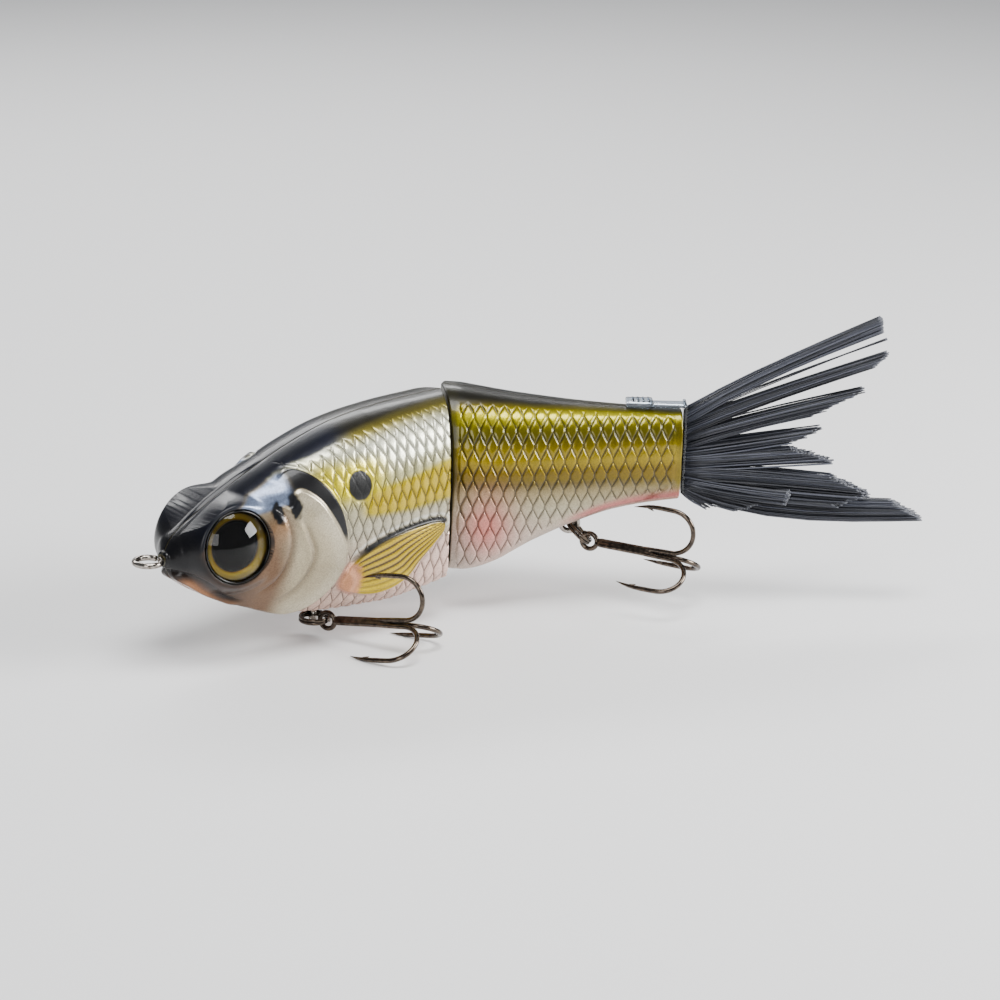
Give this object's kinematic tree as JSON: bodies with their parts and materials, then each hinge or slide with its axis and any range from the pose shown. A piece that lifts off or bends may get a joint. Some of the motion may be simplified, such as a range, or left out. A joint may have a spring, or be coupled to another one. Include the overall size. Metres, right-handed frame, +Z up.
{
  "type": "jointed glide swimbait",
  "caption": "Jointed hard-bodied glide swimbait with a pinned body joint, treble hooks on split rings and a replaceable brush tail.",
  "frame": {"origin": "centre of the bounding box's bottom face, at the lowest hook bend", "axes": "+Z up through the back, +X along the front section from the nose to the joint, -Y towards the fish's left side"},
  "size_m": [0.1116, 0.0564, 0.0437],
  "materials": {
    "painted_front": "pearl and foil paint under gloss clear coat, olive back, pale belly",
    "painted_rear": "scaled green-gold paint under gloss clear coat, pale belly",
    "steel_wire": "bright stainless wire",
    "dark_nickel": "dark bronze to black nickel plating",
    "gold_foil": "gold foil iris with a black pupil and rim",
    "clear_resin": "clear domed resin",
    "ballast_metal": "dull cast weight",
    "clear_plastic": "clear moulded plastic",
    "bristle": "smoky grey nylon filament"
  },
  "bodies": {
    "front_section": {"front_shell_left": "painted_front", "front_shell_right": "painted_front", "line_tie": "steel_wire", "front_hook_hanger": "steel_wire", "hinge_eye_lower": "steel_wire", "hinge_eye_upper": "steel_wire", "left_eye_disc": "gold_foil", "left_eye_dome": "clear_resin", "right_eye_disc": "gold_foil", "right_eye_dome": "clear_resin", "ballast_middle": "ballast_metal", "ballast_forward": "ballast_metal"},
    "rear_section": {"rear_shell_left": "painted_rear", "rear_shell_right": "painted_rear", "hinge_pin": "steel_wire", "rear_hook_hanger": "steel_wire", "ballast_rear": "ballast_metal"},
    "front_split_ring": {"front_split_ring": "dark_nickel"},
    "front_treble_hook": {"front_treble_hook": "dark_nickel"},
    "rear_split_ring": {"rear_split_ring": "dark_nickel"},
    "rear_treble_hook": {"rear_treble_hook": "dark_nickel"},
    "tail": {"tail_insert": "clear_plastic", "brush_tail": "bristle"}
  },
  "joints": [
    {"name": "body_hinge", "type": "hinge", "parent": "front_section", "child": "rear_section", "pos_m": [0.00152, 0.01903, 0.0191], "axis": [0, 0, 1], "range_deg": [-4, 84]},
    {"name": "front_ring_swing", "type": "hinge", "parent": "front_section", "child": "front_split_ring", "pos_m": [-0.02408, 0.01903, 0.00245], "axis": [0.866, -0.5, 0], "range_deg": [0, 100]},
    {"name": "front_hook_swing", "type": "hinge", "parent": "front_split_ring", "child": "front_treble_hook", "pos_m": [-0.02441, 0.01524, 0.00245], "axis": [0.9397, 0.342, 0], "range_deg": [0, 65]},
    {"name": "rear_ring_swing", "type": "hinge", "parent": "rear_section", "child": "rear_split_ring", "pos_m": [0.01531, 0.00746, 0.01142], "axis": [0.6428, 0.766, 0], "range_deg": [0, 60]},
    {"name": "rear_hook_swing", "type": "hinge", "parent": "rear_split_ring", "child": "rear_treble_hook", "pos_m": [0.0177, 0.00546, 0.00861], "axis": [0.6428, 0.766, 0], "range_deg": [0, 80]},
    {"name": "tail_pull", "type": "slide", "parent": "rear_section", "child": "tail", "axis": [0.766, -0.6428, 0], "range_m": [0, 0.012]}
  ]
}
